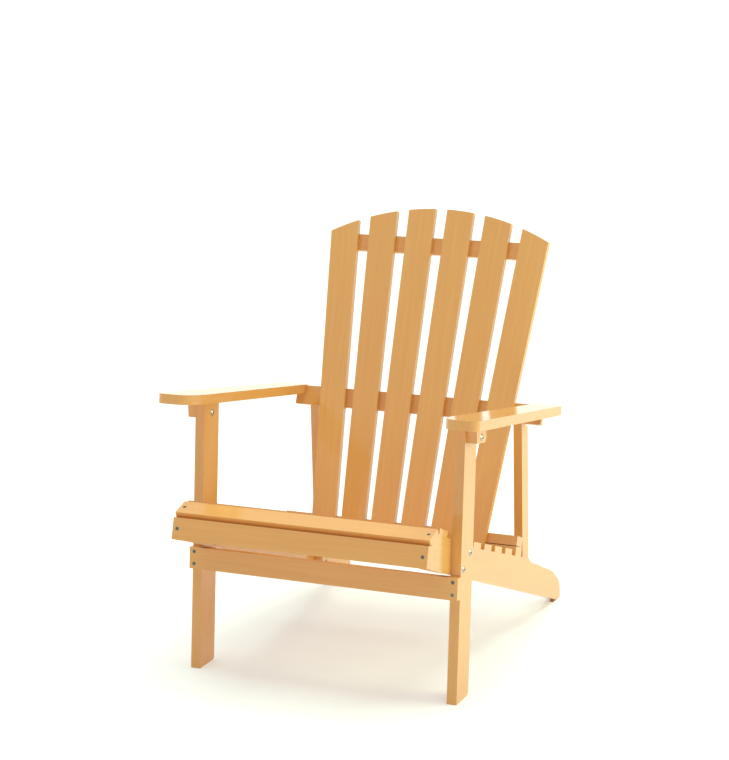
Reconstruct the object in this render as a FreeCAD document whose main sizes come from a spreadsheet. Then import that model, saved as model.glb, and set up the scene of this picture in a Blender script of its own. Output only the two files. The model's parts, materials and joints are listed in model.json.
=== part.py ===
"""Adirondack chair: every board and fastener as its own solid, driven by one sheet.

Frame: +X to the viewer's right, -Y to the front, +Z up, millimetres.
The origin lies on the ground, at the middle of the chair's overall box.
"""
import FreeCAD
import Part

import math
import os

import Sketcher

DOC = FreeCAD.newDocument("adirondack_chair")

# Driving dimensions, in millimetres and degrees. Y values are measured from the
# front bottom edge of a front leg, z values from the ground.
DRIVING = [
    # side rails: the long boards that carry the seat and run down to the rear foot
    ("rail_front_half", 291.5),
    ("rail_toe_in", 0.6),
    ("rail_thick", 22.2),
    ("rail_fall", 21.98),
    ("rail_rear_y", 727.5),
    ("rail_heel_rise", 24.0),
    ("shoulder_y", 512.0),
    ("ogee_run_a", 38.0),
    ("ogee_drop_a", 24.0),
    ("ogee_radius_a", 70.0),
    ("ogee_run_b", 82.0),
    ("ogee_drop_b", 38.0),
    ("ogee_run_c", 73.0),
    ("ogee_drop_c", 42.5),
    ("ogee_radius_c", 240.0),
    ("ogee_radius_d", 54.0),
    ("pad_front_y", 686.0),
    ("pad_rear_y", 702.0),
    ("pad_wide", 8.0),
    # apron across the rail fronts
    ("apron_y", -98.8),
    ("apron_z", 324.8),
    ("apron_lean", 17.0),
    ("apron_tall", 46.8),
    ("apron_thick", 16.0),
    # seat boards
    ("slat_thick", 13.0),
    ("slat_wide", 44.5),
    ("nose_setback", 11.0),
    ("nose_rise", 15.1),
    ("nose_run", 46.0),
    ("seat_fall_front", 24.47),
    ("seat_fall_rear", 20.34),
    ("seat_break_run", 185.5),
    ("front_group_start", 4.4),
    ("front_group_pitch", 72.5),
    ("rear_group_start", 10.1),
    ("rear_group_pitch", 68.2),
    ("rear_board_thick", 20.5),
    ("rear_board_wide", 38.0),
    # front legs and the stretcher between them
    ("leg_lean", 6.8),
    ("leg_thick", 22.2),
    ("leg_deep", 65.6),
    ("leg_chamfer", 5.0),
    ("stretcher_z", 222.6),
    ("stretcher_tall", 47.4),
    ("stretcher_thick", 15.7),
    # reclined back
    ("back_y", 411.7),
    ("back_z", 205.0),
    ("recline", 23.05),
    ("back_long", 771.0),
    ("crown_radius", 600.0),
    ("back_bottom_half", 211.8),
    ("back_bottom_gap", 15.5),
    ("back_top_half", 270.5),
    ("back_top_gap", 29.0),
    ("cross_thick", 14.0),
    ("lower_rail_deep", 35.0),
    ("lower_rail_tall", 22.0),
    ("mid_rail_tall", 44.7),
    ("mid_rail_overhang", 41.7),
    ("ledge_drop", 25.0),
    ("upper_rail_drop", 106.0),
    ("upper_rail_tall", 39.2),
    ("upper_rail_past", 8.6),
    # rear posts
    ("post_lead", 5.8),
    ("post_deep", 39.0),
    ("post_thick", 20.0),
    ("post_foot_gap", 6.0),
    # arms and their brackets
    ("arm_offset", 12.0),
    ("arm_z", 592.1),
    ("arm_fall", 10.43),
    ("arm_thick", 21.0),
    ("arm_front", -10.0),
    ("arm_rear", 566.0),
    ("arm_inner", 20.0),
    ("arm_outer_front", 64.5),
    ("arm_outer_rear", 44.5),
    ("arm_round_outer", 20.0),
    ("arm_cheek_y", 75.0),
    ("arm_nose_y", 15.0),
    ("arm_cheek_in", 9.0),
    ("bracket_setback", 6.0),
    ("bracket_long", 53.0),
    ("bracket_tall", 33.0),
    ("bracket_thick", 22.5),
    ("bracket_round", 12.0),
    # fasteners
    ("bore_clear", 0.15),
    ("screw_shank", 2.0),
    ("screw_head", 4.2),
    ("screw_head_deep", 2.6),
    ("screw_recess", 1.1),
    ("bolt_shank", 3.0),
    ("bolt_head", 7.6),
    ("bolt_head_rise", 3.0),
    ("socket_wide", 2.6),
    ("socket_deep", 1.8),
    ("nut_half", 6.5),
    ("nut_thick", 5.0),
    ("sleeve_radius", 4.4),
    ("sleeve_long", 16.0),
    ("leg_bolt_upper_rise", 34.4),
    ("leg_bolt_lower_rise", 9.6),
    ("leg_bolt_inset", 15.5),
    ("bracket_bolt_drop", 21.4),
    ("screw_edge", 11.0),
    ("embed", 16.0),
]

SHEET = DOC.addObject("Spreadsheet::Sheet", "dims")


class Size:
    """A number together with the expression that ties it to the sheet."""

    def __init__(self, value, text):
        self.value = float(value)
        self.text = text

    def __add__(self, other):
        other = as_size(other)
        return Size(self.value + other.value, f"({self.text} + {other.text})")

    def __radd__(self, other):
        return as_size(other) + self

    def __sub__(self, other):
        other = as_size(other)
        return Size(self.value - other.value, f"({self.text} - {other.text})")

    def __rsub__(self, other):
        return as_size(other) - self

    def __mul__(self, other):
        other = as_size(other)
        return Size(self.value * other.value, f"({self.text} * {other.text})")

    def __rmul__(self, other):
        return as_size(other) * self

    def __truediv__(self, other):
        other = as_size(other)
        return Size(self.value / other.value, f"({self.text} / {other.text})")

    def __neg__(self):
        return Size(-self.value, f"(0 - {self.text})")


def as_size(number):
    """Return a plain number or a Size as a Size."""
    if isinstance(number, Size):
        return number
    return Size(number, f"{float(number):.6f}")


def sine(angle):
    """Sine of an angle in degrees."""
    return Size(math.sin(math.radians(angle.value)), f"sin({angle.text})")


def cosine(angle):
    """Cosine of an angle in degrees."""
    return Size(math.cos(math.radians(angle.value)), f"cos({angle.text})")


def tangent(angle):
    """Tangent of an angle in degrees."""
    return Size(math.tan(math.radians(angle.value)), f"tan({angle.text})")


def root(number):
    """Square root."""
    return Size(math.sqrt(number.value), f"sqrt({number.text})")


def larger(one, other):
    """The larger of two sizes."""
    return Size(max(one.value, other.value), f"max({one.text}; {other.text})")


def fill_sheet():
    """Write every driving dimension to the sheet and return them by name."""
    found = {}
    for row, (name, value) in enumerate(DRIVING, start=1):
        SHEET.set(f"A{row}", name)
        SHEET.set(f"B{row}", str(value))
        SHEET.setAlias(f"B{row}", name)
        found[name] = Size(value, f"dims.{name}")
    DOC.recompute()
    return found


D = fill_sheet()


# ---------------------------------------------------------------- helpers
def place(item, x, y, z, turn="rotationx(0)"):
    """Put an object at a point of the leg-based frame, with a rotation."""
    x = as_size(x)
    y = as_size(y) - MID_Y
    z = as_size(z)
    spot = f"vector({x.text}; {y.text}; {z.text})"
    item.setExpression("Placement", f"placement({spot}; {turn})")


def box(name, long_x, wide_y, tall_z, x, y, z, turn="rotationx(0)"):
    """A rectangular board."""
    item = DOC.addObject("Part::Box", name)
    item.setExpression("Length", as_size(long_x).text)
    item.setExpression("Width", as_size(wide_y).text)
    item.setExpression("Height", as_size(tall_z).text)
    place(item, x, y, z, turn)
    return item


def arc_between(start, end, radius, left):
    """A circular arc from start to end, its centre on the left or right of the path."""
    middle = (start + end) * 0.5
    along = end - start
    half = along.Length / 2
    rise = math.sqrt(max(radius * radius - half * half, 0.0))
    across = FreeCAD.Vector(-along.y, along.x, 0).normalize()
    centre = middle + across * (rise if left else -rise)
    first = start if left else end
    last = end if left else start
    a0 = math.atan2(first.y - centre.y, first.x - centre.x)
    a1 = math.atan2(last.y - centre.y, last.x - centre.x)
    circle = Part.Circle(centre, FreeCAD.Vector(0, 0, 1), radius)
    return Part.ArcOfCircle(circle, a0, a1)


def draw_outline(sketch, corners, arcs):
    """Draw a closed outline and fix each corner and arc radius by expression.

    corners holds (u, v) sizes; arcs maps the index of a side to (radius, left).
    """
    spots = [FreeCAD.Vector(u.value, v.value, 0) for u, v in corners]
    count = len(spots)
    ends = []
    for index in range(count):
        start = spots[index]
        end = spots[(index + 1) % count]
        if index in arcs:
            radius, left = arcs[index]
            sketch.addGeometry(arc_between(start, end, radius.value, left), False)
            ends.append((1, 2) if left else (2, 1))
        else:
            sketch.addGeometry(Part.LineSegment(start, end), False)
            ends.append((1, 2))
    for index in range(count):
        following = (index + 1) % count
        sketch.addConstraint(
            Sketcher.Constraint("Coincident", index, ends[index][1], following, ends[following][0])
        )
    for index, (u, v) in enumerate(corners):
        pin_corner(sketch, index, ends[index][0], "DistanceX", u)
        pin_corner(sketch, index, ends[index][0], "DistanceY", v)
    for index, (radius, _left) in arcs.items():
        number = sketch.addConstraint(Sketcher.Constraint("Radius", index, radius.value))
        sketch.setExpression(f"Constraints[{number}]", radius.text)


def pin_corner(sketch, side, end, kind, size):
    """Fix one coordinate of a corner from the sketch origin."""
    rule = Sketcher.Constraint(kind, -1, 1, side, end, size.value)
    number = sketch.addConstraint(rule)
    sketch.setExpression(f"Constraints[{number}]", size.text)


def outline_board(name, plane_role, corners, thick, arcs=None, flipped=False):
    """A board cut to an outline: a body with one sketch and one pad."""
    body = DOC.addObject("PartDesign::Body", name)
    planes = [item for item in body.Origin.OriginFeatures if item.Role == plane_role]
    sketch = body.newObject("Sketcher::SketchObject", f"{name}_outline")
    sketch.AttachmentSupport = [(planes[0], "")]
    sketch.MapMode = "FlatFace"
    draw_outline(sketch, corners, arcs or {})
    pad = body.newObject("PartDesign::Pad", f"{name}_pad")
    pad.Profile = sketch
    pad.Reversed = flipped
    pad.setExpression("Length", as_size(thick).text)
    body.Tip = pad
    return body


def mirrored(name, source):
    """The same piece on the other side of the chair."""
    item = DOC.addObject("Part::Mirroring", name)
    item.Source = source
    item.Base = FreeCAD.Vector(0, 0, 0)
    item.Normal = FreeCAD.Vector(1, 0, 0)
    return item


def group(name, items):
    """Several solids carried by one object."""
    item = DOC.addObject("Part::Compound", name)
    item.Links = items
    return item


def both_sides(name, items):
    """Right-hand items and their mirror images in one group."""
    right = group(f"{name}_right", items)
    return group(name, [right, mirrored(f"{name}_left", right)])


def cut(name, base, tools):
    """A piece with other solids taken out of it."""
    item = DOC.addObject("Part::Cut", name)
    item.Base = base
    item.Tool = tools[0] if len(tools) == 1 else group(f"{name}_tools", tools)
    return item


def cylinder(name, radius, long, x, y, z, turn):
    """A round bar along the local z axis."""
    item = DOC.addObject("Part::Cylinder", name)
    item.setExpression("Radius", as_size(radius).text)
    item.setExpression("Height", as_size(long).text)
    place(item, x, y, z, turn)
    return item


def shifted(spot, turn_axis, distance):
    """A point moved along a direction given as three sizes."""
    return tuple(as_size(part) + axis * distance for part, axis in zip(spot, turn_axis))


class Heading:
    """A direction a fastener's head looks in: the expression and the axis."""

    def __init__(self, turn, axis):
        self.turn = turn
        self.axis = axis


def look_up(angle):
    """Head up, tilted to the rear by an angle in degrees."""
    return Heading(f"rotationx(0 - {angle.text})", (as_size(0), sine(angle), cosine(angle)))


def look_forward(angle):
    """Head to the front, tilted up by an angle in degrees."""
    axis = (as_size(0), -cosine(angle), sine(angle))
    return Heading(f"rotationx(90 - {angle.text})", axis)


def look_back(angle):
    """Head to the rear, tilted down by an angle in degrees."""
    axis = (as_size(0), cosine(angle), -sine(angle))
    return Heading(f"rotationx(0 - 90 - {angle.text})", axis)


def look_down(angle):
    """Head down, tilted to the front by an angle in degrees."""
    axis = (as_size(0), -sine(angle), -cosine(angle))
    return Heading(f"rotationx(180 - {angle.text})", axis)


LOOK_OUT = Heading("rotationy(90)", (as_size(1), as_size(0), as_size(0)))
LOOK_IN = Heading("rotationy(0 - 90)", (as_size(-1), as_size(0), as_size(0)))


def screw(name, spot, heading, long):
    """A countersunk screw whose head is flush at spot. Returns the screw and its bore."""
    base = shifted(spot, heading.axis, -as_size(long))
    shank = cylinder(f"{name}_shank", D["screw_shank"], long, *base, heading.turn)
    wide = cylinder(f"{name}_clear", D["screw_shank"] + D["bore_clear"], long, *base, heading.turn)
    head = DOC.addObject("Part::Cone", f"{name}_head")
    head.setExpression("Radius1", D["screw_shank"].text)
    head.setExpression("Radius2", D["screw_head"].text)
    head.setExpression("Height", D["screw_head_deep"].text)
    place(head, *shifted(spot, heading.axis, -D["screw_head_deep"]), heading.turn)
    recess = DOC.addObject("Part::Prism", f"{name}_recess")
    recess.Polygon = 4
    recess.setExpression("Circumradius", (D["screw_head"] * 0.45).text)
    recess.setExpression("Height", (D["screw_recess"] + 1).text)
    place(recess, *shifted(spot, heading.axis, -D["screw_recess"]), heading.turn)
    solid = DOC.addObject("Part::MultiFuse", f"{name}_solid")
    solid.Shapes = [shank, head]
    solid.Refine = True
    finished = cut(f"{name}_screw", solid, [recess])
    bore = DOC.addObject("Part::MultiFuse", f"{name}_bore")
    bore.Shapes = [wide, head]
    return finished, bore


def domed_head(name, spot, heading):
    """A low domed head standing on spot, with a hexagonal socket."""
    rise = D["bolt_head_rise"]
    sphere = (D["bolt_head"] * D["bolt_head"] + rise * rise) / (2 * rise)
    start = Size(
        math.degrees(math.asin((sphere.value - rise.value) / sphere.value)),
        f"asin(({sphere.text} - {rise.text}) / {sphere.text})",
    )
    dome = DOC.addObject("Part::Sphere", f"{name}_dome")
    dome.setExpression("Radius", sphere.text)
    dome.setExpression("Angle1", start.text)
    place(dome, *shifted(spot, heading.axis, rise - sphere), heading.turn)
    socket = DOC.addObject("Part::Prism", f"{name}_socket")
    socket.Polygon = 6
    socket.setExpression("Circumradius", D["socket_wide"].text)
    socket.setExpression("Height", (D["socket_deep"] + 1).text)
    place(socket, *shifted(spot, heading.axis, rise - D["socket_deep"]), heading.turn)
    return dome, socket


def bolt(name, spot, heading, long):
    """A domed bolt with its head on the face at spot. Returns the bolt and its bore."""
    base = shifted(spot, heading.axis, -as_size(long))
    dome, socket = domed_head(name, spot, heading)
    shank = cylinder(f"{name}_shank", D["bolt_shank"], long, *base, heading.turn)
    solid = DOC.addObject("Part::MultiFuse", f"{name}_solid")
    solid.Shapes = [dome, shank]
    solid.Refine = True
    finished = cut(f"{name}_bolt", solid, [socket])
    bore = cylinder(f"{name}_bore", D["bolt_shank"] + D["bore_clear"], long, *base, heading.turn)
    return finished, bore


# ---------------------------------------------------------------- derived geometry
APRON_UP = (sine(D["apron_lean"]), cosine(D["apron_lean"]))
APRON_IN = (cosine(D["apron_lean"]), -sine(D["apron_lean"]))
FALL = tangent(D["rail_fall"])
TOE = tangent(D["rail_toe_in"])
RECLINE = D["recline"]


def bottom_z(y):
    """Height of a side rail's straight bottom edge."""
    return D["apron_z"] - FALL * (y - D["apron_y"])


def rail_out(y):
    """Distance from the middle of the chair to a side rail's outer face."""
    return D["rail_front_half"] - (y - D["apron_y"]) * TOE


def rail_in(y):
    """Distance from the middle of the chair to a side rail's inner face."""
    return rail_out(y) - D["rail_thick"] / cosine(D["rail_toe_in"])


def back_point(behind, up):
    """A point of the back's own plane: behind its front face, and up along it."""
    y = D["back_y"] + behind * cosine(RECLINE) + up * sine(RECLINE)
    z = D["back_z"] - behind * sine(RECLINE) + up * cosine(RECLINE)
    return y, z


# The nose board rests on the apron's top and on the short rising facet of the rails.
NOSE_Y = D["apron_y"] + APRON_UP[0] * D["apron_tall"] + APRON_IN[0] * D["nose_setback"]
NOSE_Z = D["apron_z"] + APRON_UP[1] * D["apron_tall"] + APRON_IN[1] * D["nose_setback"]
CREST_Y = NOSE_Y + D["nose_run"] * cosine(D["nose_rise"])
CREST_Z = NOSE_Z + D["nose_run"] * sine(D["nose_rise"])
BREAK_Y = CREST_Y + D["seat_break_run"]
BREAK_Z = CREST_Z - D["seat_break_run"] * tangent(D["seat_fall_front"])


def seat_z(y):
    """Height of the rails' rear top edge, under the rear group of seat boards."""
    return BREAK_Z - (y - BREAK_Y) * tangent(D["seat_fall_rear"])


REAR_TAN = tangent(D["seat_fall_rear"])
REAR_COS = cosine(D["seat_fall_rear"])
REAR_SIN = sine(D["seat_fall_rear"])
BOARD_TOP_0 = seat_z(as_size(0)) + D["rear_board_thick"] / REAR_COS
BACK_TAN = tangent(RECLINE)
BOARD_BY_TOP = (D["back_y"] + (BOARD_TOP_0 - D["back_z"]) * BACK_TAN + D["slat_thick"] / cosine(RECLINE)) / (
    1 + REAR_TAN * BACK_TAN
)
SLAT_HEEL_Y, SLAT_HEEL_Z = back_point(D["slat_thick"], as_size(0))
BOARD_BY_HEEL = REAR_COS * (SLAT_HEEL_Y * REAR_COS + (BOARD_TOP_0 - SLAT_HEEL_Z) * REAR_SIN)

# The rear board's front face meets the slats at its top edge, or at the slats' lower ends.
BOARD_Y = larger(BOARD_BY_TOP, BOARD_BY_HEEL)
BOARD_TOP = BOARD_TOP_0 - REAR_TAN * BOARD_Y
LOWER_REACH = D["slat_thick"] + D["lower_rail_deep"]


def rise_over_board(reach):
    """How far up the back a point this far behind its front face meets the rear board."""
    start = BOARD_TOP_0 - D["back_z"] - REAR_TAN * D["back_y"]
    slope = sine(RECLINE) - REAR_TAN * cosine(RECLINE)
    return (start + reach * slope) / (cosine(RECLINE) + REAR_TAN * sine(RECLINE))


# The lower rail's underside stands on the rear board at whichever corner meets it first.
LOWER_RISE = larger(rise_over_board(LOWER_REACH), rise_over_board(D["slat_thick"]))

# The overall box runs from the apron's bottom edge to the crown of the back.
CROWN_Y = back_point(D["slat_thick"], D["back_long"])[0]
MID_Y = (D["apron_y"] + larger(CROWN_Y, D["rail_rear_y"])) / 2

LEG_TAN = tangent(D["leg_lean"])
LEG_FIRST_TOUCH = (D["apron_z"] + FALL * D["apron_y"]) * LEG_TAN / (1 + FALL * LEG_TAN)
LEG_IN = rail_out(LEG_FIRST_TOUCH)
LEG_OUT = LEG_IN + D["leg_thick"]
ARM_TAN = tangent(D["arm_fall"])
ARM_TURN = f"rotationx(0 - {D['arm_fall'].text})"
ARM_X = LEG_IN + D["arm_offset"]
STOCK_TOP = D["arm_z"] + 8

# The mid back rail's ends carry the arms, so its height follows the arms' undersides.
MID_RISE = (
    D["arm_z"] - ARM_TAN * (D["back_y"] + D["slat_thick"] * cosine(RECLINE))
    - D["back_z"] + D["slat_thick"] * sine(RECLINE) - D["ledge_drop"]
) / (cosine(RECLINE) + ARM_TAN * sine(RECLINE))
UPPER_RISE = D["back_long"] - D["upper_rail_drop"]

# The rear posts stand under the mid back rail.
POST_Y = back_point(D["slat_thick"], MID_RISE)[0] - D["post_lead"]


def arm_under(y):
    """Height of an arm's underside."""
    return D["arm_z"] - ARM_TAN * y


BACK_TURN = f"rotationx(0 - {RECLINE.text})"
PIECES = {}


def keep(label, item):
    """Name a finished sub-part."""
    item.Label = label
    PIECES[label] = item


# ---------------------------------------------------------------- fasteners, right-hand side
def leg_bolt(name, z, y):
    """A bolt through leg and rail with its nut on the rail's inner face."""
    seat = rail_in(y + D["nut_half"] * 1.2)
    long = LEG_OUT - seat + D["nut_thick"] + 1.5
    item, bore = bolt(name, (LEG_OUT, y, z), LOOK_OUT, long)
    nut = DOC.addObject("Part::Prism", f"{name}_nut_blank")
    nut.Polygon = 6
    nut.setExpression("Circumradius", (D["nut_half"] * 1.1547).text)
    nut.setExpression("Height", D["nut_thick"].text)
    place(nut, seat - D["nut_thick"], y, z, LOOK_OUT.turn)
    return item, bore, cut(f"{name}_nut", nut, [bore])


UPPER_BOLT_Z = bottom_z(LEG_FIRST_TOUCH) + D["leg_bolt_upper_rise"]
LOWER_BOLT_Z = bottom_z(LEG_FIRST_TOUCH) + D["leg_bolt_lower_rise"]
UPPER_BOLT_Y = UPPER_BOLT_Z * LEG_TAN + D["leg_deep"] - D["leg_bolt_inset"]
LOWER_BOLT_Y = LOWER_BOLT_Z * LEG_TAN + D["leg_bolt_inset"]
UPPER_BOLT = leg_bolt("leg_bolt_upper", UPPER_BOLT_Z, UPPER_BOLT_Y)
LOWER_BOLT = leg_bolt("leg_bolt_lower", LOWER_BOLT_Z, LOWER_BOLT_Y)

BRACKET_OUT = LEG_OUT + D["bracket_thick"]
BRACKET_Y = (D["arm_z"] - D["bracket_tall"] / 2) * LEG_TAN + D["bracket_setback"]
BRACKET_MID = BRACKET_Y + D["bracket_long"] / 2
BRACKET_BOLT_Z = arm_under(BRACKET_MID) - D["bracket_bolt_drop"]
CAP_BOLT = bolt(
    "bracket_bolt",
    (BRACKET_OUT, BRACKET_MID, BRACKET_BOLT_Z),
    LOOK_OUT,
    D["bracket_thick"] + D["leg_thick"] - 2,
)
SLEEVE_SPOT = (LEG_IN, BRACKET_MID, BRACKET_BOLT_Z)
CAP_DOME, CAP_SOCKET = domed_head("sleeve_nut", SLEEVE_SPOT, LOOK_IN)
SLEEVE = cylinder("sleeve_nut_barrel", D["sleeve_radius"], D["sleeve_long"], *SLEEVE_SPOT, LOOK_OUT.turn)
SLEEVE_BORE = cylinder(
    "sleeve_nut_bore",
    D["sleeve_radius"] + D["bore_clear"],
    D["sleeve_long"] + 0.5,
    *SLEEVE_SPOT,
    LOOK_OUT.turn,
)
CAP_SOLID = DOC.addObject("Part::MultiFuse", "sleeve_nut_solid")
CAP_SOLID.Shapes = [CAP_DOME, SLEEVE]
CAP_SOLID.Refine = True
CAP_NUT = cut("sleeve_nut", CAP_SOLID, [CAP_SOCKET, CAP_BOLT[1]])

STRETCHER_TURN = look_forward(D["leg_lean"])


def stretcher_screw(name, up):
    """A screw through the stretcher's end into the leg's front edge."""
    height = D["stretcher_z"] + up
    y = height * LEG_TAN - D["stretcher_thick"] / cosine(D["leg_lean"])
    spot = (LEG_OUT - D["leg_thick"] / 2, y, height)
    return screw(name, spot, STRETCHER_TURN, D["stretcher_thick"] + D["embed"])


LOW_SCREW = stretcher_screw("stretcher_screw_low", D["stretcher_tall"] * 0.27)
HIGH_SCREW = stretcher_screw("stretcher_screw_high", D["stretcher_tall"] * 0.83)

APRON_SPOT = (
    D["rail_front_half"] - D["screw_edge"],
    D["apron_y"] + APRON_UP[0] * D["apron_tall"] / 2,
    D["apron_z"] + APRON_UP[1] * D["apron_tall"] / 2,
)
APRON_SCREW = screw("apron_screw", APRON_SPOT, look_forward(D["apron_lean"]), D["apron_thick"] + D["embed"])


class SeatBoard:
    """One seat board: its underside front edge, its tilt and its half length."""

    def __init__(self, label, y, z, tilt):
        self.label = label
        self.y = y
        self.z = z
        self.tilt = tilt
        self.mid_y = y + D["slat_wide"] / 2 * cosine(tilt)
        self.half = rail_out(self.mid_y)
        spot = (
            self.half - D["screw_edge"],
            self.mid_y + D["slat_thick"] * sine(tilt),
            z - D["slat_wide"] / 2 * sine(tilt) + D["slat_thick"] * cosine(tilt),
        )
        self.screw, self.bore = screw(f"{label}_fix", spot, look_up(tilt), D["slat_thick"] + D["embed"])

    def build(self):
        """Make the board and bore it at both ends."""
        turn = f"rotationx(0 - {self.tilt.text})"
        blank = box(
            f"{self.label}_blank", self.half * 2, D["slat_wide"], D["slat_thick"], -self.half, self.y, self.z, turn
        )
        keep(self.label, cut(self.label, blank, [both_sides(f"{self.label}_bores", [self.bore])]))


def seat_boards():
    """The eight thin seat boards, front to rear."""
    boards = [SeatBoard("seat_slat_1", NOSE_Y, NOSE_Z, -D["nose_rise"])]
    for index in range(3):
        run = D["front_group_start"] + D["front_group_pitch"] * index
        y = CREST_Y + run * cosine(D["seat_fall_front"])
        z = CREST_Z - run * sine(D["seat_fall_front"])
        boards.append(SeatBoard(f"seat_slat_{index + 2}", y, z, D["seat_fall_front"]))
    for index in range(4):
        run = D["rear_group_start"] + D["rear_group_pitch"] * index
        y = BREAK_Y + run * REAR_COS
        z = BREAK_Z - run * REAR_SIN
        boards.append(SeatBoard(f"seat_slat_{index + 5}", y, z, D["seat_fall_rear"]))
    return boards


SEAT = seat_boards()

# One long screw at each end holds the lower back rail and the rear seat board.
LOWER_TOP = LOWER_RISE + D["lower_rail_tall"]
LOWER_MID_Y, LOWER_MID_Z = back_point(D["slat_thick"] + D["lower_rail_deep"] * 0.42, LOWER_TOP)
LOWER_HALF = rail_out(LOWER_MID_Y)
LOWER_SCREW = screw(
    "lower_rail_fix",
    (LOWER_HALF - D["screw_edge"], LOWER_MID_Y, LOWER_MID_Z),
    look_up(RECLINE),
    D["lower_rail_tall"] + D["rear_board_thick"] + D["embed"] + 3,
)


def bottom_edge(index):
    """Inner and outer x of a right-hand back slat at its lower end."""
    wide = (D["back_bottom_half"] - D["back_bottom_gap"] * 2.5) / 3
    inner = D["back_bottom_gap"] * 0.5 + (wide + D["back_bottom_gap"]) * index
    return inner, inner + wide


def top_edge(index):
    """Inner and outer x of a right-hand back slat at its upper end."""
    wide = (D["back_top_half"] - D["back_top_gap"] * 2.5) / 3
    inner = D["back_top_gap"] * 0.5 + (wide + D["back_top_gap"]) * index
    return inner, inner + wide


def crown(x):
    """Length of the back at a distance from the middle, under the common arc."""
    radius = D["crown_radius"]
    return D["back_long"] - radius + root(radius * radius - x * x)


def slat_middle(index, up):
    """Middle x of a right-hand back slat at a height along the back."""
    low = bottom_edge(index)
    high = top_edge(index)
    start = (low[0] + low[1]) / 2
    end = (high[0] + high[1]) / 2
    return start + (end - start) * up / D["back_long"]


def back_screws(name, up, behind, long):
    """Three screws from behind a cross rail into the right-hand slats."""
    found = []
    for index in range(3):
        y, z = back_point(behind, up)
        spot = (slat_middle(index, up), y, z)
        found.append(screw(f"{name}_{index + 1}", spot, look_back(RECLINE), long))
    return found


CROSS_BACK = D["slat_thick"] + D["cross_thick"]
SHORT = D["cross_thick"] + D["slat_thick"] * 0.75
UPPER_SCREWS = back_screws("upper_fix", UPPER_RISE + D["upper_rail_tall"] / 2, CROSS_BACK, SHORT)
MID_SCREWS = back_screws("mid_fix", MID_RISE + D["mid_rail_tall"] / 2, CROSS_BACK, SHORT)
LOWER_SCREWS = back_screws(
    "lower_fix",
    LOWER_RISE + D["lower_rail_tall"] / 2,
    LOWER_REACH,
    D["lower_rail_deep"] + D["slat_thick"] * 0.75,
)

POST_OUT = rail_in(POST_Y + D["post_deep"])
POST_MID = POST_Y + D["post_deep"] / 2
MID_HALF = POST_OUT + D["mid_rail_overhang"]
UPPER_HALF = slat_middle(2, UPPER_RISE + D["upper_rail_tall"] / 2) + D["upper_rail_past"]
TOP_Y, TOP_Z = back_point(CROSS_BACK - D["cross_thick"] / 2, MID_RISE + D["mid_rail_tall"])
POST_TOP_SCREW = screw(
    "post_top_fix",
    (POST_OUT - D["post_thick"] / 2, TOP_Y, TOP_Z),
    look_up(RECLINE),
    D["mid_rail_tall"] + D["embed"] + 3,
)


def post_screw(name, up):
    """A screw from the post's inner face into the side rail."""
    spot = (POST_OUT - D["post_thick"], POST_MID, bottom_z(POST_MID) + up)
    return screw(name, spot, LOOK_IN, D["post_thick"] + D["embed"])


POST_LOW = post_screw("post_fix_low", 21)
POST_HIGH = post_screw("post_fix_high", 47)

# Arm screws rise from below: one through the bracket, one through the mid rail's end.
BRACKET_SCREW_Y = BRACKET_Y + 13
BRACKET_SCREW_X = LEG_OUT + D["bracket_thick"] / 2
BRACKET_SCREW = screw(
    "bracket_fix",
    (
        BRACKET_SCREW_X,
        BRACKET_SCREW_Y,
        arm_under(BRACKET_SCREW_Y) - D["bracket_tall"],
    ),
    look_down(D["arm_fall"]),
    D["bracket_tall"] + D["embed"] * 0.8,
)
LEDGE_Y, LEDGE_Z = back_point(CROSS_BACK - D["cross_thick"] / 2, MID_RISE)
ARM_INNER_X = ARM_X - D["arm_inner"]
LEDGE_SCREW = screw(
    "ledge_fix",
    ((ARM_INNER_X + MID_HALF) / 2 + 1, LEDGE_Y, LEDGE_Z),
    look_down(RECLINE),
    D["mid_rail_tall"] * 0.88,
)


# ---------------------------------------------------------------- boards
ARM_SPACE = box("arm_space", 160, 800, 90, ARM_INNER_X, 0, D["arm_z"], ARM_TURN)


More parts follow.
